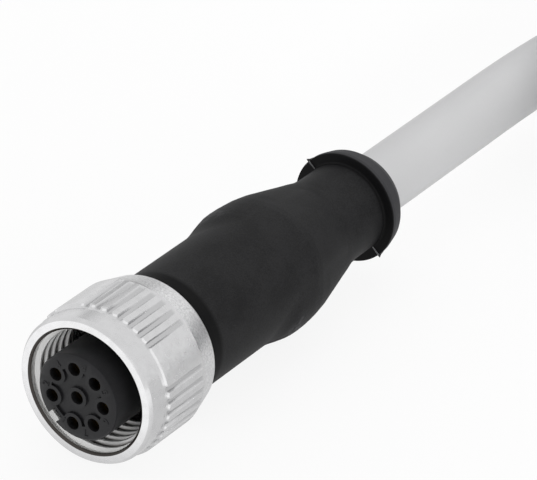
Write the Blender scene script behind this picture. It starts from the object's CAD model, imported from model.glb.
import math

import bmesh
import bpy
import numpy as np
from mathutils import Matrix, Vector


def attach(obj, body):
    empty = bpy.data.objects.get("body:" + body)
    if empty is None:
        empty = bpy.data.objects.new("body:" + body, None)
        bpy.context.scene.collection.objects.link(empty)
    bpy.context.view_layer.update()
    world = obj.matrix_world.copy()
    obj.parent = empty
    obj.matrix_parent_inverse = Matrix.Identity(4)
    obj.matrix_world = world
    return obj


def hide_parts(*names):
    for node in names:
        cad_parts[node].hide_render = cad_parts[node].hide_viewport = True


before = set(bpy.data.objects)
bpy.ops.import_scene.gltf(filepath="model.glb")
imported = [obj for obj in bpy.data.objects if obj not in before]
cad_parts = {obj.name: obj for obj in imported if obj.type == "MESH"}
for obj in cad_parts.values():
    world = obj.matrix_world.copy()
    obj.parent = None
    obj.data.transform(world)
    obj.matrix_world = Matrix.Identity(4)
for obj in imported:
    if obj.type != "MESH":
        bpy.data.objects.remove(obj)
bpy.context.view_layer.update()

bl_info = {
    "name": "M12 cable connector",
    "version": (1, 0, 0),
    "blender": (4, 5, 0),
    "location": "3D View > Sidebar > Connector",
    "description": "Builds the looks of a moulded M12 cable connector with a screw nut",
    "category": "Object",
}

MM = 0.001
ROLL = math.radians(44)       # turn of the whole connector about its axis
PARTING = -ROLL               # angle of the mould's parting plane, from +X towards +Z
SURFACE = -7.3 * MM           # the surface that the nut and the coil lie on
FOCAL_LENGTH = 273.74         # of the camera, for its 36 mm sensor
CAMERA = (16.42, 13.53, 350)  # millimetres right of, above and back from the mating face
WHITE = (1, 1, 1, 1)
LAND = 7.3 * MM               # radius of the nut's lands
LAND_FRONT = 3.52 * MM        # where the lands and their grooves start
FIRST_GROOVE = math.radians(101)
FRONT, COLLAR, EXIT = 11.65, 41.85, 44.65  # where the grip and its collar start, and its end
TAIL, ENTRY = 4.72, 3.17      # radii of the grip's bore round the carrier's tail and the cable


# ---- Sizes and colours a user would change

def length(name, description, default):
    """A length property, kept in metres and given here in millimetres."""
    return bpy.props.FloatProperty(name=name, description=description, default=default * MM,
                                   min=0.0, unit="LENGTH", precision=5)


def colour(name, description, code):
    """A colour property from an sRGB hex value."""
    return bpy.props.FloatVectorProperty(name=name, description=description, subtype="COLOR",
                                         size=4, min=0.0, max=1.0, default=linear(code))


def linear(code):
    """Turns an sRGB hex value into linear red, green, blue and alpha."""
    out = []
    for i in (1, 3, 5):
        value = int(code[i:i + 2], 16) / 255
        out.append(value / 12.92 if value <= 0.04045 else ((value + 0.055) / 1.055) ** 2.4)
    return out + [1.0]


class NutSizes(bpy.types.PropertyGroup):
    """Sizes of the coupling nut."""
    groups: bpy.props.IntProperty(name="Groups", description="Groups of grip grooves", default=4)
    grooves: bpy.props.IntProperty(name="Grooves", description="Grooves in a group", default=7)
    step: bpy.props.FloatProperty(name="Groove step", description="Angle between grooves",
                                  default=math.radians(9.3), subtype="ANGLE")
    groove_width: length("Groove width", "Width of a groove at its open top", 0.62)
    floor_width: length("Floor width", "Width of a groove at its floor", 0.36)
    floor_radius: length("Floor radius", "Radius of the grooves' floors", 7.04)
    wall: length("Groove end", "Where the grooves end in a wall", 8.58)
    pitch: length("Thread pitch", "Pitch of the inside thread", 1.0)
    thread_depth: length("Thread depth", "Height of the inside thread", 0.54)


class GripSizes(bpy.types.PropertyGroup):
    """Sizes of the moulded grip."""
    body: length("Body radius", "Radius of the grip behind the nut", 5.9)
    wing: length("Wing radius", "Reach of each finger wing from the axis", 6.575)
    wing_offset: length("Wing offset", "Offset of the centre each wing is rounded about", 2.0)
    waist: length("Waist radius", "Radius of the slim neck", 4.45)
    flash: length("Flash", "How far the mould's flash stands proud of the collar", 0.14)


class CableSizes(bpy.types.PropertyGroup):
    """Sizes of the cable."""
    diameter: length("Diameter", "Diameter of the jacket", 6.3)
    total: length("Length", "Length of cable from the collar to the cut end", 1455.35)
    coil_radius: length("Coil radius", "Radius at the middle of the coil's turns", 31.5)


class Colours(bpy.types.PropertyGroup):
    """Colours of the finishes."""
    nickel: colour("Nickel", "Nickel plate on the nut", "#dcdcdd")
    carrier: colour("Carrier", "Polyamide of the contact carrier", "#202022")
    grip: colour("Grip", "Polyurethane of the grip", "#1a1a1b")
    jacket: colour("Jacket", "Jacket of the cable", "#bfbfc0")
    gold: colour("Gold", "Plating on the contacts", "#b0904e")


SETTINGS = {"m12_nut": NutSizes, "m12_grip": GripSizes, "m12_cable": CableSizes,
            "m12_colours": Colours}


# ---- Nodes and materials

def add(tree, kind, inputs=None, out=0, **settings):
    """Adds one node, sets its properties, fills or links its inputs, and gives one output."""
    node = tree.nodes.new(kind)
    for name, value in settings.items():
        setattr(node, name, value)
    for socket, value in (inputs or {}).items():
        if isinstance(value, bpy.types.NodeSocket):
            tree.links.new(value, node.inputs[socket])
        else:
            node.inputs[socket].default_value = value
    return node.outputs[out] if node.outputs else None


def cleared(holder):
    """The node tree of a material or a world, emptied."""
    holder.use_nodes = True
    holder.node_tree.nodes.clear()
    return holder.node_tree


def new_material(name, **sockets):
    """Starts a material: its Principled shader takes the values given for its sockets."""
    material = bpy.data.materials.new(name)
    tree = cleared(material)
    surface = add(tree, "ShaderNodeBsdfPrincipled",
                  {key.replace("_", " "): value for key, value in sockets.items()})
    add(tree, "ShaderNodeOutputMaterial", {"Surface": surface})
    return material, tree, add(tree, "ShaderNodeTexCoord", out="Object")


def finish(material, tint, coats, **sockets):
    """Ends a material. Its colour is a tint under coats, each a mask and the colour that shows
    where the mask is 1, and other results go to the sockets of its Principled shader."""
    tree = material.node_tree
    for mask, code in coats:
        tint = add(tree, "ShaderNodeMix", {0: mask, 6: tint, 7: linear(code)}, out=2,
                   data_type="RGBA")
    shader = tree.nodes["Principled BSDF"]
    for name, value in {"Base_Color": tint, **sockets}.items():
        tree.links.new(value, shader.inputs[name.replace("_", " ")])
    return material


def zone(tree, place, *masks, radius=None, along=None, until=None):
    """A mask over part of a piece turned about the axis: other masks and limits, multiplied. A
    limit gives, in millimetres, where it is 0 and where it is 1: radius from the axis, along
    and until both along it."""
    masks = list(masks)
    if radius:
        flat = add(tree, "ShaderNodeVectorMath", {0: place, 1: (1, 0, 1)}, operation="MULTIPLY")
        away = add(tree, "ShaderNodeVectorMath", {0: flat}, out="Value", operation="LENGTH")
        masks.append(add(tree, "ShaderNodeMapRange", {
            "Value": away, "From Min": radius[0] * MM, "From Max": radius[1] * MM}))
    for start, end in filter(None, (along, until)):
        down = add(tree, "ShaderNodeSeparateXYZ", {"Vector": place}, out="Y")
        masks.append(add(tree, "ShaderNodeMapRange", {
            "Value": down, "From Min": start * MM, "From Max": end * MM}))
    mask = masks[0]
    for other in masks[1:]:
        mask = add(tree, "ShaderNodeMath", {0: mask, 1: other}, operation="MULTIPLY")
    return mask


def between_turns(tree, place, pitch):
    """A mask over the bore behind the thread's first turn. The thread falls by one pitch for each
    turn from +X, and the mask's edge closes on itself where the ridge runs in."""
    axes = add(tree, "ShaderNodeSeparateXYZ", {"Vector": place}).node.outputs
    angle = add(tree, "ShaderNodeMath", {0: axes["Z"], 1: axes["X"]}, operation="ARCTAN2")
    turns = add(tree, "ShaderNodeMath", {0: angle, 1: math.tau}, operation="DIVIDE")
    turn = add(tree, "ShaderNodeMath", {0: turns}, operation="FRACT")
    fall = add(tree, "ShaderNodeMath", {0: turn, 1: pitch, 2: axes["Y"]},
               operation="MULTIPLY_ADD")
    closing = add(tree, "ShaderNodeMapRange", {"Value": turn, "From Min": 0.8, "From Max": 1.0,
                                               "To Max": pitch})
    level = add(tree, "ShaderNodeMath", {0: fall, 1: closing}, operation="SUBTRACT")
    return add(tree, "ShaderNodeMapRange", {"Value": level, "From Min": 2.62 * MM,
                                            "From Max": 2.82 * MM})


def nickel_plated_die_casting():
    """Zinc die casting under satin nickel: slightly rippled on the lands, duller in the grooves,
    granular as cast on the rear band, cut bright in the thread and stained on its lead-in."""
    scene = bpy.context.scene
    material, tree, place = new_material("nickel_plated_zinc", Metallic=1.0)
    bore = zone(tree, place, radius=(6.12, 6.09))
    rear = zone(tree, place, along=(8.75, 9.0), until=(11.25, 11.05))
    floors = add(tree, "ShaderNodeAttribute", out="Fac", attribute_name="groove_floor")
    roots = zone(tree, place, bore, between_turns(tree, place, scene.m12_nut.pitch),
                 radius=(5.62, 5.8))
    lead_in = zone(tree, place, bore, radius=(5.84, 5.88), along=(1.38, 1.34))

    # Ripple of the cast surface under the plate, 0.8 mm from crest to crest.
    ripple = add(tree, "ShaderNodeTexNoise", {"Vector": place, "Scale": 1 / (0.8 * MM),
                                              "Detail": 3.0, "Roughness": 0.55})
    # Grains of the rear band, 0.17 mm, twice as coarse as real ones so that they show.
    grain = add(tree, "ShaderNodeTexNoise", {"Vector": place, "Scale": 1 / (0.17 * MM),
                                             "Detail": 2.0, "Roughness": 0.6})
    speck = add(tree, "ShaderNodeMapRange", {"Value": grain, "From Min": 0.35,
                                             "From Max": 0.65})
    coats = [(ripple, "#cececf"), (floors, "#c3c3c4"), (rear, "#c9c9ca"),
             (zone(tree, place, rear, speck), "#ececed"), (bore, "#fafaf9"),
             (roots, "#57534f"), (lead_in, "#3a342f")]
    satin = add(tree, "ShaderNodeMapRange", {"Value": ripple, "From Min": 0.3, "From Max": 0.7,
                                             "To Min": 0.2, "To Max": 0.3})
    # The rear band is rougher, and the cut bore is even, less mirror-like and without ripple.
    rough, metal, strength = (
        add(tree, "ShaderNodeMapRange", {"Value": bore, "To Min": outside, "To Max": inside})
        for outside, inside in (
            (add(tree, "ShaderNodeMapRange", {"Value": rear, "To Min": satin,
                                              "To Max": 0.32}), 0.24),
            (1.0, 0.25), (0.35, 0.0)))
    soft = add(tree, "ShaderNodeBump", {"Strength": strength, "Distance": 0.012 * MM,
                                        "Height": ripple})
    bump = add(tree, "ShaderNodeBump", {"Strength": 0.8, "Distance": 0.03 * MM,
                                        "Height": zone(tree, place, grain, rear),
                                        "Normal": soft})
    return finish(material, scene.m12_colours.nickel, coats, Roughness=rough, Metallic=metal,
                  Normal=bump)


def moulded_plastic(name, base, light, roughness, grain, depth, gloss=0.3):
    """A moulded plastic with an even colour that clouds a little and a fine grained skin."""
    material, tree, place = new_material(name, Specular_IOR_Level=gloss)
    cloud, skin = (add(tree, "ShaderNodeTexNoise", {
        "Vector": place, "Scale": 1 / (size * MM), "Detail": detail, "Roughness": 0.6})
        for size, detail in ((3, 4.0), (grain, 2.0)))
    clouds, specks, worn = (add(tree, "ShaderNodeMapRange", {
        "Value": noise, "From Min": 0.3, "From Max": 0.7, "To Min": low, "To Max": high})
        for noise, low, high in ((cloud, 0.0, 1.0), (skin, -0.6, 0.6),
                                 (cloud, roughness - 0.04, roughness + 0.04)))
    share = add(tree, "ShaderNodeMath", {0: clouds, 1: specks}, operation="ADD")
    bump = add(tree, "ShaderNodeBump", {"Strength": 0.5, "Distance": depth * MM,
                                        "Height": skin})
    return finish(material, base, [(share, light)], Roughness=worn, Normal=bump)


def grip_polyurethane():
    """Spark-grained grip: darker next to the nut and in the corner of the collar, paler on the
    collar's outside and on the rubbed ends of the wings."""
    material = moulded_plastic("spark_grained_polyurethane",
                               bpy.context.scene.m12_colours.grip, "#272728", 0.6, 0.13, 0.03,
                               gloss=0.13)
    tree = material.node_tree
    place = add(tree, "ShaderNodeTexCoord", out="Object")
    # Rubbed patches, 0.5 mm across.
    rubs = add(tree, "ShaderNodeTexNoise", {"Vector": place, "Scale": 1 / (0.5 * MM),
                                            "Detail": 3.0})
    patches = add(tree, "ShaderNodeMapRange", {"Value": rubs, "From Min": 0.4,
                                               "From Max": 0.65})
    rubbed = zone(tree, place, patches, radius=(6.2, 6.5), along=(23.6, 24.6),
                  until=(27.0, 26.2))
    plain = tree.nodes["Principled BSDF"].inputs["Base Color"].links[0].from_socket
    return finish(material, plain, [
        (zone(tree, place, along=(41.4, 41.7), until=(42.0, 41.9)), "#0d0d0e"),
        (zone(tree, place, along=(13.7, 13.2)), "#050506"),
        (zone(tree, place, along=(41.92, 42.06)), "#39393b"), (rubbed, "#454547")])


def torn_flash():
    """Thin flash of the grip's material: pale where it was torn off across the collar."""
    material, tree, place = new_material("torn_flash", Roughness=0.6)
    torn = zone(tree, place, radius=(5.5, 5.4))
    return finish(material, linear("#1a1a1b"), [(torn, "#6e6e70")])


def gold_plate():
    """Gold flashed over nickel on the turned contacts: warm, bright, fine turning marks."""
    material, tree, place = new_material("gold_plate", Metallic=1.0)
    # Turning marks round the contact, about 0.09 mm apart along its axis.
    marks = add(tree, "ShaderNodeTexWave", {"Vector": place, "Scale": 1 / (0.3 * MM),
                                            "Distortion": 0.4}, out="Fac",
                bands_direction="Y")
    rough = add(tree, "ShaderNodeMapRange", {"Value": marks, "To Min": 0.2, "To Max": 0.32})
    return finish(material, bpy.context.scene.m12_colours.gold, [(marks, "#9a7b3e")],
                  Roughness=rough)


def extruded_jacket():
    """Polyurethane jacket, extruded: matt, with a fine skin and faint clouds."""
    material, tree, place = new_material("extruded_jacket", Sheen_Weight=0.05)
    skin = add(tree, "ShaderNodeTexNoise", {"Vector": place, "Scale": 1 / (0.25 * MM),
                                            "Detail": 3.0, "Roughness": 0.6})
    cloud = add(tree, "ShaderNodeTexNoise", {"Vector": place, "Scale": 1 / (9 * MM),
                                             "Detail": 3.0})
    rough = add(tree, "ShaderNodeMapRange", {"Value": skin, "To Min": 0.5, "To Max": 0.62})
    bump = add(tree, "ShaderNodeBump", {"Strength": 0.3, "Distance": 0.02 * MM,
                                        "Height": skin})
    return finish(material, bpy.context.scene.m12_colours.jacket, [(cloud, "#c6c6c7")],
                  Roughness=rough, Normal=bump)


# ---- Mesh helpers

def dress(piece, material):
    """Gives a piece one material in place of what it had."""
    piece.data.materials.clear()
    piece.data.materials.append(material)


def new_piece(name, mesh, material, smooth=True):
    """Puts a mesh in the scene as a piece with one material."""
    piece = bpy.data.objects.new(name, mesh)
    bpy.context.scene.collection.objects.link(piece)
    dress(piece, material)
    mesh.polygons.foreach_set("use_smooth", [smooth] * len(mesh.polygons))
    return piece


def solid_mesh(name, points, faces):
    """Makes a mesh from points and faces, closes its seams and turns its faces outwards."""
    work = bmesh.new()
    corners = [work.verts.new(p) for p in points]
    for face in faces:
        work.faces.new([corners[i] for i in face])
    bmesh.ops.remove_doubles(work, verts=work.verts, dist=1e-7)
    bmesh.ops.dissolve_degenerate(work, edges=work.edges, dist=1e-8)
    bmesh.ops.recalc_face_normals(work, faces=work.faces)
    mesh = bpy.data.meshes.new(name)
    work.to_mesh(mesh)
    work.free()
    return mesh


def on_axis(radius, angle, along):
    """The point at this radius and angle round the connector's axis."""
    return (radius * math.cos(angle), along, radius * math.sin(angle))


def rounded(corners, steps=4):
    """Rounds the corners (radius, along, fillet) of a closed outline given in millimetres."""
    outline = []
    for i, (r, y, fillet) in enumerate(corners):
        corner = Vector((r, y))
        before = Vector(corners[i - 1][:2]) - corner
        after = Vector(corners[(i + 1) % len(corners)][:2]) - corner
        half = before.angle(after) / 2
        reach = min(fillet / math.tan(half), before.length * 0.49, after.length * 0.49)
        if fillet == 0 or reach < 1e-4:
            outline.append((r * MM, y * MM))
            continue
        start = corner + before.normalized() * reach
        end = corner + after.normalized() * reach
        middle = corner + (before.normalized() + after.normalized()).normalized() \
            * reach / math.cos(half)
        sweep = math.pi - 2 * half
        for k in range(steps + 1):
            t = k / steps
            p = middle + ((start - middle) * math.sin((1 - t) * sweep)
                          + (end - middle) * math.sin(t * sweep)) / math.sin(sweep)
            outline.append((p.x * MM, p.y * MM))
    return outline


def closed_grid(rings, count):
    """Faces between rings of this many points, the last ring joined to the first."""
    return [(j * count + k, j * count + (k + 1) % count,
             (j + 1) % rings * count + (k + 1) % count, (j + 1) % rings * count + k)
            for j in range(rings) for k in range(count)]


def turned(name, outline, angles):
    """Turns a closed outline of (radius, along) about the axis, with one column per angle."""
    points = [on_axis(r, a, y) for a in angles for r, y in outline]
    return solid_mesh(name, points, closed_grid(len(angles), len(outline)))


def plain_mesh(thing, name):
    """The mesh that an object has once its modifiers have run."""
    graph = bpy.context.evaluated_depsgraph_get()
    mesh = bpy.data.meshes.new_from_object(thing.evaluated_get(graph))
    mesh.name = name
    return mesh


def keep_result(piece, modifier):
    """Makes a modifier's result the piece's own mesh, and removes the modifier."""
    mesh = plain_mesh(piece, piece.name)
    piece.modifiers.remove(modifier)
    piece.data = mesh
    return piece


def apply_nodes(piece, tree, values):
    """Runs a Geometry Nodes tree on a piece and keeps the result."""
    modifier = piece.modifiers.new(tree.name, "NODES")
    modifier.node_group = tree
    for item in tree.interface.items_tree:
        if item.item_type == "SOCKET" and item.in_out == "INPUT" and item.name in values:
            modifier[item.identifier] = values[item.name]
    return keep_result(piece, modifier)


def start_tree(name, counts, sizes):
    """Starts a Geometry Nodes tree with geometry in and out, and with these counts and sizes as
    named inputs, which it gives back by name."""
    tree = bpy.data.node_groups.new(name, "GeometryNodeTree")
    kinds = [("Geometry", "Geometry")] + [(c, "Int") for c in counts] \
        + [(s, "Float") for s in sizes]
    for label, kind in kinds:
        tree.interface.new_socket(name=label, in_out="INPUT", socket_type=f"NodeSocket{kind}")
    tree.interface.new_socket(name="Geometry", in_out="OUTPUT",
                              socket_type="NodeSocketGeometry")
    return tree, dict(add(tree, "NodeGroupInput").node.outputs.items())


def end_tree(tree, geometry, material):
    """Ends a tree: instances become real and take the material."""
    real = add(tree, "GeometryNodeRealizeInstances", {"Geometry": geometry})
    dressed = add(tree, "GeometryNodeSetMaterial", {"Geometry": real, "Material": material})
    add(tree, "NodeGroupOutput", {"Geometry": dressed})
    return tree


# ---- Studio

def camera_axes():
    """Right, up and back of the camera, which looks down on the mating face from one side."""
    turn, rise = math.radians(34.083), math.radians(28.506)
    right = Vector((math.cos(turn), math.sin(turn), 0))
    back = Vector((math.sin(turn) * math.cos(rise), -math.cos(turn) * math.cos(rise),
                   math.sin(rise)))
    return right, back.cross(right), back


def softbox(name, place, aim, size, power, spread=180):
    """A soft rectangular lamp at a place, turned to its aim, its light kept to a spread."""
    lamp = bpy.data.lights.new(name, "AREA")
    lamp.shape = "RECTANGLE"
    lamp.size, lamp.size_y = size
    lamp.energy = power
    lamp.spread = math.radians(spread)
    holder = bpy.data.objects.new(name, lamp)
    holder.location = place
    holder.rotation_euler = (Vector(aim) - Vector(place)).to_track_quat("-Z", "Y").to_euler()
    holder.visible_glossy = False
    bpy.context.scene.collection.objects.link(holder)


def card(name, corners, level, mirrored):
    """A flat card of the room, outside the view, with one grey for the light that it gives and
    one for its reflection in metal."""
    flat = bpy.data.meshes.new(name)
    flat.from_pydata(corners, [], [(0, 1, 2, 3)])
    grey = bpy.data.materials.new(name)
    tree = cleared(grey)
    strength = add(tree, "ShaderNodeMapRange", {
        "Value": add(tree, "ShaderNodeLightPath", out="Is Glossy Ray"),
        "To Min": level, "To Max": mirrored})
    glow = add(tree, "ShaderNodeEmission", {"Color": WHITE, "Strength": strength})
    add(tree, "ShaderNodeOutputMaterial", {"Surface": glow})
    sheet = new_piece(name, flat, grey, smooth=False)
    sheet.visible_camera = False


def seen_share(tree, hidden, seen):
    """One level for rays that light the object, and another for those that show the room: from
    the camera, or from a mirror or glass. Also a mask for the rays from a mirror."""
    rays = add(tree, "ShaderNodeLightPath").node.outputs
    shown = rays["Is Camera Ray"]
    for ray in ("Is Glossy Ray", "Is Transmission Ray"):
        shown = add(tree, "ShaderNodeMath", {0: shown, 1: rays[ray]}, operation="MAXIMUM")
    level = add(tree, "ShaderNodeMapRange", {"Value": shown, "To Min": hidden, "To Max": seen})
    return level, rays["Is Glossy Ray"]


def floor_board():
    """Pale board that shows white, keeps a faint shadow, and is brighter to a mirror in front of
    the nut than beside it."""
    reach = 2.5
    board = bpy.data.meshes.new("floor")
    board.from_pydata([(x * reach, y * reach, SURFACE)
                       for x, y in ((-1, -1), (1, -1), (1, 1), (-1, 1))], [], [(0, 1, 2, 3)])
    material = bpy.data.materials.new("white_board")
    tree = cleared(material)
    matt = add(tree, "ShaderNodeBsdfDiffuse", {"Color": linear("#f4f4f4")})
    place = add(tree, "ShaderNodeTexCoord", out="Object")
    depth = add(tree, "ShaderNodeSeparateXYZ", {"Vector": place}, out="Y")
    share, mirror = seen_share(tree, 0.45, 0.88)
    mirrored = add(tree, "ShaderNodeMapRange", {
        "Value": depth, "From Min": 3 * MM, "From Max": -8 * MM, "To Min": 0.78, "To Max": 1.4})
    strength = add(tree, "ShaderNodeMapRange", {"Value": mirror, "To Min": 1.0,
                                                "To Max": mirrored})
    glow = add(tree, "ShaderNodeEmission", {"Color": WHITE, "Strength": strength})
    mixed = add(tree, "ShaderNodeMixShader", {0: share, 1: matt, 2: glow})
    add(tree, "ShaderNodeOutputMaterial", {"Surface": mixed})
    new_piece("floor", board, material, smooth=False)


class StageOperator(bpy.types.Operator):
    """Sets up the camera, the pale floor, the room light and the soft lamps."""
    bl_idname = "m12.stage"
    bl_label = "Studio"

    def execute(self, context):
        scene = context.scene
        axes = camera_axes()
        lens = bpy.data.cameras.new("camera")
        lens.sensor_width = 36
        lens.lens = FOCAL_LENGTH
        lens.clip_start, lens.clip_end = 0.01, 20
        camera = bpy.data.objects.new("camera", lens)
        place = sum((axis * far for axis, far in zip(axes, CAMERA)), Vector()) * MM
        camera.matrix_world = Matrix.Translation(place) @ Matrix(axes).transposed().to_4x4()
        scene.collection.objects.link(camera)
        scene.camera = camera
        scene.view_settings.view_transform = "Standard"
        floor_board()

        # Room: white to the eye and to metal, a plain level on matt surfaces.
        world = bpy.data.worlds.new("room")
        tree = cleared(world)
        level = seen_share(tree, 1.0, 0.95)[0]
        room = add(tree, "ShaderNodeBackground", {"Color": WHITE, "Strength": level})
        add(tree, "ShaderNodeOutputWorld", {"Surface": room})
        scene.world = world

        # Cards far outside the view: one behind on the left that the nut mirrors as grey, and one
        # behind the camera that keeps the front faces in shade.
        card("card_behind", [(-0.41, 0.45, 0.04), (-0.21, 0.57, 0.04), (-0.21, 0.57, 0.38),
                             (-0.41, 0.45, 0.38)], 0.9, 0.45)
        card("card_front", [(0.85, -0.50, 0.02), (-0.45, -0.50, 0.02), (-0.45, -0.45, 0.75),
                            (0.85, -0.45, 0.75)], 0.03, 1.25)

        middle = Vector((0, 0.02, 0))
        softbox("lamp_top", middle + Vector((-0.1, 0.1, 0.5)), middle, (0.5, 0.5), 0.27)
        softbox("lamp_left", middle + Vector((-0.45, -0.25, 0.3)), middle, (0.3, 0.5), 0.25)
        softbox("lamp_right", middle + Vector((0.5, -0.1, 0.14)), middle, (0.4, 0.25), 0.5)
        # A narrow lamp on the cable where the coil beside it takes its light.
        softbox("lamp_cable", Vector((0.22, -0.15, 0.1)), Vector((0.003, 0.088, 0)),
                (0.04, 0.04), 0.0045, spread=14)
        return {"FINISHED"}


# ---- Cable

# Centre line from the collar down to the coil, in millimetres.
ROUTE = [(0, EXIT, 0), (0, 50, 0), (0, 56, 0), (0, 62, 0), (0, 68, 0), (0, 74, -0.1),
         (0, 80, -0.4), (0, 86, -0.9), (0, 92, -1.5), (0, 97, -2)]
LANDING = -3.65 * MM          # height of the cable's centre line in the coil's lowest layer


def ease(t):
    """Eases from 0 to 1 while t goes from 0 to 1."""
    return (1 - math.cos(math.pi * min(max(t, 0.0), 1.0))) / 2


def free_route():
    """Points of the route, joined by smooth curves."""
    route = [Vector(point) * MM for point in ROUTE]
    slopes = [(route[min(k + 1, len(route) - 1)] - route[max(k - 1, 0)])
              / (min(k + 1, len(route) - 1) - max(k - 1, 0)) for k in range(len(route))]
    points = []
    for k in range(len(route) - 1):
        for t in (0, 1 / 3, 2 / 3):
            points.append(route[k] * (2 * t ** 3 - 3 * t ** 2 + 1)
                          + slopes[k] * (t ** 3 - 2 * t ** 2 + t)
                          + route[k + 1] * (3 * t ** 2 - 2 * t ** 3)
                          + slopes[k + 1] * (t ** 3 - t ** 2))
    return points


def coil_point(turn, radius, d):
    """Centre line of the wound cable after this many degrees. Every 300 degrees it moves on by
    one diameter: twice inwards, up, twice outwards, up again and inwards."""
    sideways = up = 0.0
    for move, (inwards, upwards) in enumerate(((1, 0), (1, 0), (0, 1), (-1, 0), (-1, 0), (0, 1),
                                               (1, 0), (1, 0))):
        done = ease((turn - 240 - 300 * move) / 60)
        sideways += inwards * done
        up += upwards * done
    drop = (ROUTE[-1][2] * MM - LANDING) * max(1 - turn / 45, 0) ** 2
    r = radius + d * (1 - sideways)
    a = math.radians(turn)
    return Vector((radius + d - r * math.cos(a), ROUTE[-1][1] * MM + r * math.sin(a),
                   LANDING + drop + d * up))


def cable_path(sizes):
    """The whole centre line, cut off at the cable's length."""
    path = free_route()
    path += [coil_point(turn, sizes.coil_radius, sizes.diameter) for turn in range(0, 2700, 3)]
    run = 0.0
    for k in range(1, len(path)):
        step = (path[k] - path[k - 1]).length
        if run + step >= sizes.total:
            return path[:k] + [path[k - 1].lerp(path[k], (sizes.total - run) / step)]
        run += step
    raise RuntimeError("the coil is too short for the cable's length")


class CableOperator(bpy.types.Operator):
    """Lays the jacketed cable from the collar to its coil, with its cut end and ties."""
    bl_idname = "m12.cable"
    bl_label = "Cable"

    def execute(self, context):
        sizes = context.scene.m12_cable
        path = cable_path(sizes)
        line = bpy.data.curves.new("cable_jacket", "CURVE")
        line.dimensions = "3D"
        spline = line.splines.new("POLY")
        spline.points.add(len(path) - 1)
        for point, place in zip(spline.points, path):
            point.co = (*place, 1)
        line.bevel_depth = sizes.diameter / 2
        line.bevel_resolution = 8
        line.use_fill_caps = True
        cable = bpy.data.objects.new("cable_jacket", line)
        context.scene.collection.objects.link(cable)
        line.materials.append(extruded_jacket())

        stubs = core_stubs(path)
        ties = [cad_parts["coil_tie_front"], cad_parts["coil_tie_rear"]]
        strap = moulded_plastic("woven_tie", linear("#26272a"), "#303134", 0.7, 0.3,
                                0.05, gloss=0.1)
        for tie in ties:
            dress(tie, strap)
        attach(cable, "connector")
        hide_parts("cable", "cable_coil")
        return {"FINISHED"}


CORE_COLOURS = (("white", "#e6e5e0"), ("brown", "#6b4426"), ("green", "#2f7d45"),
                ("yellow", "#e3c23a"), ("grey", "#8b8d90"), ("pink", "#e3a3b2"),
                ("blue", "#2f58b0"), ("red", "#b4292b"))


def core_stubs(path):
    """The cut end: eight insulated cores with their copper, cut flush and a little proud."""
    end, along = Vector(path[-1]), (Vector(path[-1]) - Vector(path[-2])).normalized()
    side = along.cross(Vector((0, 0, 1))).normalized()
    rise = side.cross(along)
    copper, tree, place = new_material("bare_copper", Metallic=1.0, Roughness=0.35)
    strands = add(tree, "ShaderNodeTexVoronoi", {"Vector": place, "Scale": 1 / (0.15 * MM)},
                  out="Distance")
    finish(copper, linear("#c9875a"), [(strands, "#8a4f2e")])
    pieces = []
    for n, (name, code) in enumerate(CORE_COLOURS):
        angle = 2 * math.pi * n / 7
        middle = end if n == 7 else end + (side * math.cos(angle) + rise * math.sin(angle)) \
            * 1.5 * MM
        for label, radius, proud in (("core", 0.6, 0.05), ("wire", 0.34, 0.08)):
            points, faces, ring = [], [], 20
            for depth in (-1.0, proud - 0.02, proud):
                size = radius - (0.03 if depth == proud else 0)
                for k in range(ring):
                    turn = 2 * math.pi * k / ring
                    points.append(middle + along * depth * MM + (
                        side * math.cos(turn) + rise * math.sin(turn)) * size * MM)
            for row in range(2):
                for k in range(ring):
                    faces.append((row * ring + k, row * ring + (k + 1) % ring,
                                  (row + 1) * ring + (k + 1) % ring, (row + 1) * ring + k))
            faces += [tuple(range(ring)), tuple(range(2 * ring, 3 * ring))]
            skin = copper if label == "wire" else moulded_plastic(
                f"insulation_{name}", linear(code), code, 0.45, 0.1, 0.005)
            piece = new_piece(f"cut_{label}_{name}",
                              solid_mesh(f"cut_{label}_{name}", points, faces), skin,
                              smooth=False)
            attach(piece, "connector")
            pieces.append(piece)
            if label == "core":
                dress(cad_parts[f"core_{n + 1}"], skin)
    return pieces


# ---- Coupling nut

def groove_columns(nut):
    """Angles of the nut's columns, close together at the edges of each groove."""
    half, floor = nut.groove_width / 2 / LAND, nut.floor_width / 2 / LAND
    land = nut.step / 2 - half
    side = [floor, (half + floor) / 2, half, half + 0.3 * land, half + 0.6 * land]
    marks = [0.0] + side + [-m for m in side]
    angles = []
    for g in range(nut.groups):
        first = FIRST_GROOVE - g * 2 * math.pi / nut.groups
        for k in range(nut.grooves):
            angles += [first - k * nut.step + m for m in marks]
            angles.append(first - k * nut.step - nut.step / 2)
        last = first - (nut.grooves - 1) * nut.step - half
        following = first - 2 * math.pi / nut.groups + half
        angles += [last + (following - last) * t / 16 for t in range(2, 16)]
    return sorted({round(a % (2 * math.pi), 6) for a in angles})


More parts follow.
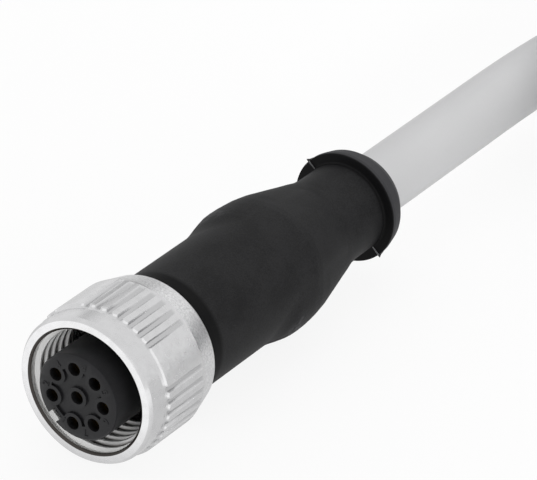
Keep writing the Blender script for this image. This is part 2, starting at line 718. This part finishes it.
def groove_tree(material):
    """Geometry Nodes that press groups of grooves into a turned blank along +Y, and round the
    front ends of the lands between them."""
    tree, known = start_tree("grip_grooves", ("Groups", "Grooves"), (
        "Step", "First", "Groove width", "Floor width", "Floor radius", "Land radius", "Front",
        "Wall", "Rounding"))
    place = add(tree, "GeometryNodeInputPosition")
    known.update(add(tree, "ShaderNodeSeparateXYZ", {"Vector": place}).node.outputs.items())
    flat = add(tree, "ShaderNodeCombineXYZ", {"X": known["X"], "Z": known["Z"]})
    known["radius"] = add(tree, "ShaderNodeVectorMath", {0: flat}, out="Value",
                          operation="LENGTH")
    # Each row names a result, its operation and its inputs, which are numbers or results. A row
    # without an operation maps a range: the value, its start and end, and what they become.
    for name, operation, *inputs in (
            # The nearest groove of the point's group, and how far off its middle it lies.
            ("angle", "ARCTAN2", "Z", "X"), ("behind", "SUBTRACT", "First", "angle"),
            ("sector", "DIVIDE", math.tau, "Groups"), ("margin", "MULTIPLY", "Step", -0.5),
            ("top", "ADD", "sector", "margin"), ("local", "WRAP", "behind", "top", "margin"),
            ("share", "DIVIDE", "local", "Step"), ("number", "ROUND", "share"),
            ("last", "SUBTRACT", "Grooves", 1.0), ("number", "MAXIMUM", "number", 0.0),
            ("number", "MINIMUM", "number", "last"), ("centre", "MULTIPLY", "number", "Step"),
            ("off", "SUBTRACT", "local", "centre"), ("off", "ABSOLUTE", "off"),
            ("off", "MULTIPLY", "off", "Land radius"),
            # Half widths of a groove's top and floor, and of the step from groove to groove.
            ("outer", "MULTIPLY", "Groove width", 0.5), ("inner", "MULTIPLY", "Floor width", 0.5),
            ("half", "MULTIPLY", "Step", "Land radius"), ("half", "MULTIPLY", "half", 0.5),
            # A point sinks to its groove's floor: fully at the front, less towards the wall.
            ("across", None, "off", "inner", "outer", 1.0, 0.0),
            ("short", "GREATER_THAN", "Wall", "Y"),
            ("proud", "SUBTRACT", "radius", "Floor radius"), ("proud", "MAXIMUM", "proud", 0.0),
            ("outside", "GREATER_THAN", "proud", 0.0), ("mask", "MULTIPLY", "across", "short"),
            ("mask", "MULTIPLY", "mask", "outside"),
            ("depth", None, "Y", "Front", "Wall", 1.0, 0.35),
            ("sink", "MULTIPLY", "mask", "depth"), ("sink", "MULTIPLY", "sink", "proud"),
            ("sink", "MULTIPLY", "sink", -1.0),
            # The front end of a land is rounded: next to a groove it lies further back.
            ("edge", None, "off", "outer", "half", 1.0, 0.0), ("edge", "POWER", "edge", 2.0),
            ("beyond", "SUBTRACT", "Y", "Front"),
            ("near", None, "beyond", 0.0, 1.2 * MM, 1.0, 0.0),
            ("behind_band", "GREATER_THAN", "beyond", -0.4 * MM),
            ("back", "MULTIPLY", "edge", "near"), ("back", "MULTIPLY", "back", "behind_band"),
            ("back", "MULTIPLY", "back", "Rounding")):
        kind, settings = ("ShaderNodeMath", {"operation": operation}) if operation \
            else ("ShaderNodeMapRange", {})
        known[name] = add(tree, kind, {i: known.get(v, v) for i, v in enumerate(inputs)},
                          **settings)
    inward = add(tree, "ShaderNodeVectorMath", {0: flat}, operation="NORMALIZE")
    shift = add(tree, "ShaderNodeVectorMath", {0: inward, 3: known["sink"]}, operation="SCALE")
    back = add(tree, "ShaderNodeCombineXYZ", {"Y": known["back"]})
    shift = add(tree, "ShaderNodeVectorMath", {0: shift, 1: back}, operation="ADD")
    marked = add(tree, "GeometryNodeStoreNamedAttribute", {
        "Geometry": known["Geometry"], "Name": "groove_floor", "Value": known["mask"]},
        data_type="FLOAT", domain="POINT")
    pressed = add(tree, "GeometryNodeSetPosition", {"Geometry": marked, "Offset": shift})
    return end_tree(tree, pressed, material)


def thread_tree(material):
    """Geometry Nodes that wind a thread ridge inside a bore along +Y, run out at both ends."""
    tree, known = start_tree("inside_thread", (), (
        "Root radius", "Depth", "Pitch", "Turns", "Start", "Run out"))
    known["share"] = add(tree, "GeometryNodeSplineParameter", out="Factor")
    # How high it winds, the ridge's width at its base and crest, and the share still to wind.
    for name, operation, *inputs in (
            ("rise", "MULTIPLY", "Pitch", "Turns"), ("base", "MULTIPLY", "Pitch", 0.9),
            ("crest", "MULTIPLY", "Pitch", 0.26), ("half", "MULTIPLY", "Depth", 0.5),
            ("left", "SUBTRACT", 1.0, "share")):
        known[name] = add(tree, "ShaderNodeMath",
                          {i: known.get(v, v) for i, v in enumerate(inputs)},
                          operation=operation)
    helix = add(tree, "GeometryNodeCurveSpiral", {
        "Resolution": 96, "Rotations": known["Turns"], "Start Radius": known["Root radius"],
        "End Radius": known["Root radius"], "Height": known["rise"], "Reverse": True})
    upright = add(tree, "GeometryNodeSetCurveNormal", {"Curve": helix}, mode="Z_UP")
    ridge = add(tree, "GeometryNodeCurvePrimitiveQuadrilateral", {
        "Height": known["Depth"], "Bottom Width": known["base"], "Top Width": known["crest"],
        "Offset": 0.0}, mode="TRAPEZOID")
    lift = add(tree, "ShaderNodeCombineXYZ", {"Y": known["half"]})
    standing = add(tree, "GeometryNodeTransform", {"Geometry": ridge, "Translation": lift})
    lying = add(tree, "GeometryNodeTransform", {"Geometry": standing,
                                                "Rotation": (0, 0, math.pi / 2)})
    softened = add(tree, "GeometryNodeFilletCurve", {"Curve": lying, "Radius": 0.08 * MM})
    begin, finished = (add(tree, "ShaderNodeMapRange", {
        "Value": known[end], "From Min": 0.0, "From Max": known["Run out"], "To Min": 0.02,
        "To Max": 1.0}, interpolation_type="SMOOTHSTEP") for end in ("share", "left"))
    size = add(tree, "ShaderNodeMath", {0: begin, 1: finished}, operation="MULTIPLY")
    wound = add(tree, "GeometryNodeCurveToMesh", {"Curve": upright, "Profile Curve": softened,
                                                  "Scale": size, "Fill Caps": True})
    seat = add(tree, "ShaderNodeCombineXYZ", {"Y": known["Start"]})
    placed = add(tree, "GeometryNodeTransform", {"Geometry": wound, "Translation": seat,
                                                 "Rotation": (-math.pi / 2, 0, 0)})
    return end_tree(tree, placed, material)


class NutOperator(bpy.types.Operator):
    """Makes the coupling nut: turned blank, grip grooves, captive web and inside thread."""
    bl_idname = "m12.nut"
    bl_label = "Coupling nut"

    def execute(self, context):
        nut = context.scene.m12_nut
        nickel = nickel_plated_die_casting()
        outline = rounded([
            (6.10, 1.10, 0.03), (6.76, 1.10, 0.09), (7.00, 1.50, 0.12), (7.00, 3.18, 0.08),
            (7.12, 3.40, 0.06), (7.30, 3.52, 0.05), (7.30, 8.70, 0.10), (6.62, 11.20, 0.12),
            (6.34, 11.50, 0.06), (4.80, 11.50, 0.06), (4.80, 9.75, 0.04), (6.15, 9.75, 0.05),
            (6.15, 7.45, 0.03), (6.00, 7.40, 0.02), (6.00, 1.52, 0.02), (5.84, 1.36, 0.02)])
        outline = refined(outline, LAND, (3.9 * MM, 4.3 * MM, 4.75 * MM, nut.wall - 0.28 * MM,
                                          nut.wall + 0.01 * MM))
        blank = new_piece("nut_shell", turned("nut_shell", outline, groove_columns(nut)), nickel)
        apply_nodes(blank, groove_tree(nickel), {
            "Groups": nut.groups, "Grooves": nut.grooves, "Step": nut.step,
            "First": FIRST_GROOVE, "Groove width": nut.groove_width,
            "Floor width": nut.floor_width, "Floor radius": nut.floor_radius,
            "Land radius": LAND, "Front": LAND_FRONT, "Wall": nut.wall,
            "Rounding": 0.1 * MM})
        soften(blank, 40)
        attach(blank, "nut")
        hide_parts("coupling_nut")

        thread = new_piece("nut_thread", bpy.data.meshes.new("nut_thread"), nickel)
        apply_nodes(thread, thread_tree(nickel), {
            "Root radius": 6.02 * MM, "Depth": nut.thread_depth + 0.02 * MM,
            "Pitch": nut.pitch, "Turns": 5.65, "Start": 1.72 * MM, "Run out": 0.05})
        soften(thread, 30)
        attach(thread, "nut")
        return {"FINISHED"}


def refined(outline, radius, stations):
    """Adds points at these stations to the outline's straight run along this radius."""
    out = []
    for k, (r, y) in enumerate(outline):
        out.append((r, y))
        r2, y2 = outline[(k + 1) % len(outline)]
        if abs(r - radius) < 1e-7 and abs(r2 - radius) < 1e-7:
            out += [(radius, station) for station in stations if y < station < y2]
    return out


def soften(piece, angle):
    """Shades a piece smooth, with edges sharper than this many degrees kept crisp."""
    work = bmesh.new()
    work.from_mesh(piece.data)
    bmesh.ops.remove_doubles(work, verts=work.verts, dist=1e-7)
    bmesh.ops.recalc_face_normals(work, faces=work.faces)
    for face in work.faces:
        face.smooth = True
    for edge in work.edges:
        if len(edge.link_faces) == 2:
            edge.smooth = edge.calc_face_angle(0.0) < math.radians(angle)
    work.to_mesh(piece.data)
    work.free()


# ---- Contact carrier

class CarrierOperator(bpy.types.Operator):
    """Finishes the contact carrier, its contacts and sealing ring, and adds the numerals."""
    bl_idname = "m12.carrier"
    bl_label = "Contact carrier"

    def execute(self, context):
        colours = context.scene.m12_colours
        polyamide = moulded_plastic("glass_filled_polyamide", colours.carrier, "#262628", 0.4,
                                    0.12, 0.012, gloss=0.2)
        gold = gold_plate()
        rubber = moulded_plastic("nitrile_rubber", linear("#1c1c1d"), "#222223", 0.55, 0.1,
                                 0.01)
        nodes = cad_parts
        carrier = joined_copy(nodes["contact_carrier"], "carrier_moulding", polyamide)
        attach(carrier, "connector")
        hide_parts("contact_carrier")
        for n in range(1, 9):
            dress(nodes[f"contact_{n}"], gold)
        dress(nodes["sealing_ring"], rubber)

        places = {1: (-119, 3.02), 2: (173, 3.3), 3: (125, 3.3), 4: (75, 3.3), 5: (27, 3.3),
                  6: (-24, 3.3), 7: (-76, 3.3)}
        for n, (angle, radius) in places.items():
            numeral = raised_numeral(str(n), math.radians(angle), radius * MM, polyamide)
            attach(numeral, "connector")
        return {"FINISHED"}


def joined_copy(node, name, material):
    """A copy of a CAD node with its loose triangles joined, and with its narrow chamfers shaded
    as rounded edges between flat faces."""
    work = bmesh.new()
    work.from_mesh(node.data)
    bmesh.ops.remove_doubles(work, verts=work.verts, dist=2e-7)
    mesh = bpy.data.meshes.new(name)
    work.to_mesh(mesh)
    work.free()
    piece = new_piece(name, mesh, material)
    soften(piece, 50)
    weighted = piece.modifiers.new("flat_faces", "WEIGHTED_NORMAL")
    weighted.weight = 100
    weighted.keep_sharp = True
    return keep_result(piece, weighted)


def raised_numeral(text, angle, radius, material):
    """A raised plain numeral on the mating face, its top away from the centre."""
    name = f"numeral_{text}"
    letter = bpy.data.curves.new(name, "FONT")
    letter.body = text
    letter.size = 0.95 * MM
    letter.extrude = 0.05 * MM
    letter.align_x = letter.align_y = "CENTER"
    letter.resolution_u = 4
    draft = bpy.data.objects.new("draft", letter)
    bpy.context.scene.collection.objects.link(draft)
    mesh = plain_mesh(draft, name)
    bpy.data.objects.remove(draft)
    up, out = Vector(on_axis(1, angle, 0)), Vector((0, -1, 0))
    turn = Matrix((up.cross(out), up, out)).transposed().to_4x4()
    mesh.transform(Matrix.Translation(up * radius) @ turn)
    return new_piece(name, mesh, material, smooth=False)


# ---- Moulded grip

def smooth_max(a, b, blend):
    """The larger of two values, with a rounded change from one to the other."""
    h = np.maximum(blend - np.abs(a - b), 0) / blend
    return np.maximum(a, b) + h * h * blend / 4


def section_radius(grip, y, angle):
    """Radius of the grip at station y, in millimetres, at an angle from the parting plane."""
    body, wing_top, waist, offset = (v / MM for v in (grip.body, grip.wing, grip.waist,
                                                      grip.wing_offset))
    core = np.interp(y, [FRONT, 28.8, 29.6, 35.6, 36.8, COLLAR],
                     [body, body, body - 0.1, waist + 0.09, waist, waist])
    wing = np.interp(y, [22.0, 22.85, 23.3, 24.6, 25.75, 26.8, 28.1, 29.4, 31, 32.4, 33.7,
                         35.1, 36.5, 38.0, 38.8, 45],
                     [body - 0.4, body - 0.02, body + 0.1, body + 0.41, wing_top - 0.04,
                      wing_top, wing_top - 0.03, wing_top - 0.13, wing_top - 0.385,
                      wing_top - 0.72, wing_top - 1.03, wing_top - 1.37, wing_top - 1.69,
                      waist + 0.03, waist - 0.1, waist - 1.5])
    side = np.abs(np.cos(angle)) * offset
    reach = np.maximum(wing - offset, 0.1) ** 2 - (np.sin(angle) * offset) ** 2
    lobe = side + np.sqrt(np.maximum(reach, 0.0))
    return smooth_max(np.full_like(lobe, core), lobe, 0.25)


class GripOperator(bpy.types.Operator):
    """Makes the moulded grip: body, wings, neck and collar in one, with the mould's flash."""
    bl_idname = "m12.grip"
    bl_label = "Moulded grip"

    def execute(self, context):
        grip = context.scene.m12_grip
        urethane = grip_polyurethane()
        torn = torn_flash()
        half = [0, 0.25, 0.6, 1.5, 3] + list(range(6, 175, 3)) + [177, 178.5, 179.4, 179.75]
        angles = np.radians(np.array(half + [a + 180 for a in half]))
        seam = 0.03 * np.exp(-(np.degrees(np.abs(np.sin(angles))) / 0.35) ** 2)
        rows = []
        for r, y in rounded([(TAIL, FRONT, 0), (5.9, FRONT, 0.5), (5.9, 14, 0)], 6)[1:-1]:
            rows.append((y / MM, np.full_like(angles, r / MM)))
        stations = list(np.arange(12.6, 22.4, 0.7)) + list(np.arange(22.4, 38.9, 0.2)) \
            + list(np.arange(39, 41.5, 0.4))
        for y in stations:
            rows.append((y, section_radius(grip, y, angles) + seam))
        collar = rounded([(4.45, 41.3, 0), (4.45, COLLAR, 0.22), (5.45, COLLAR, 0.10),
                          (5.46, 42.3, 0.3), (5.15, 43.6, 1.0), (4.45, EXIT, 0.12),
                          (ENTRY, EXIT, 0.05), (ENTRY, 24.0, 0)], 5)[1:]
        rows += [(y / MM, np.full_like(angles, r / MM)) for r, y in collar]
        rows += [(17.0, np.full_like(angles, ENTRY)), (15.5, np.full_like(angles, TAIL)),
                 (FRONT, np.full_like(angles, TAIL))]
        points = [on_axis(radius[k] * MM, PARTING + angles[k], y * MM)
                  for y, radius in rows for k in range(len(angles))]
        faces = closed_grid(len(rows), len(angles))
        body = new_piece("grip_moulding", solid_mesh("grip_moulding", points, faces), urethane)
        soften(body, 50)
        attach(body, "connector")
        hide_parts("grip_body")

        for side, turn in (("low", 0.0), ("high", math.pi)):
            fin = self.flash_fin(PARTING + turn, grip.flash / MM, f"collar_flash_{side}")
            flash = new_piece(f"collar_flash_{side}", fin, torn, smooth=False)
            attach(flash, "connector")

        dress(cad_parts["cable_entry"], bpy.data.materials["extruded_jacket"])
        return {"FINISHED"}

    @staticmethod
    def flash_fin(angle, proud, name):
        """The thin fin that the mould's halves left across the collar's front face."""
        outline = [(4.5, 41.9), (4.5, 41.78), (5.0, COLLAR - proud * 0.7),
                   (5.45, COLLAR - proud), (5.72, 41.72), (5.56, 42.1), (5.47, 42.6),
                   (5.2, 42.6)]
        wide = 0.05
        points = []
        for side in (-1, 1):
            for r, y in outline:
                thick = wide * (0.35 if r > 5.5 else 1.0)
                lean = side * thick / r
                points.append(on_axis(r * MM, angle + lean, y * MM))
        n = len(outline)
        faces = [tuple(range(n)), tuple(range(2 * n - 1, n - 1, -1))]
        faces += [(k, (k + 1) % n, n + (k + 1) % n, n + k) for k in range(n)]
        return solid_mesh(name, points, faces)


# ---- Add-on

class ConnectorPanel(bpy.types.Panel):
    """Lists the sizes, the colours and the makers of the connector's pieces."""
    bl_idname = "M12_PT_connector"
    bl_label = "M12 cable connector"
    bl_space_type = "VIEW_3D"
    bl_region_type = "UI"
    bl_category = "Connector"

    def draw(self, context):
        for name, group in SETTINGS.items():
            box = self.layout.box()
            for key in group.__annotations__:
                box.prop(getattr(context.scene, name), key)
        for maker in OPERATORS:
            self.layout.operator(maker.bl_idname)


OPERATORS = (StageOperator, CableOperator, NutOperator, CarrierOperator, GripOperator)


def register():
    for group in SETTINGS.values():
        bpy.utils.register_class(group)
    for maker in (*OPERATORS, ConnectorPanel):
        bpy.utils.register_class(maker)
    for name, group in SETTINGS.items():
        setattr(bpy.types.Scene, name, bpy.props.PointerProperty(type=group))


def unregister():
    for name in SETTINGS:
        delattr(bpy.types.Scene, name)
    for maker in (ConnectorPanel, *reversed(OPERATORS)):
        bpy.utils.unregister_class(maker)
    for group in SETTINGS.values():
        bpy.utils.unregister_class(group)


def main():
    register()
    bpy.ops.m12.stage()
    bpy.ops.m12.cable()
    bpy.ops.m12.nut()
    bpy.ops.m12.carrier()
    bpy.ops.m12.grip()


if __name__ == "__main__":
    main()
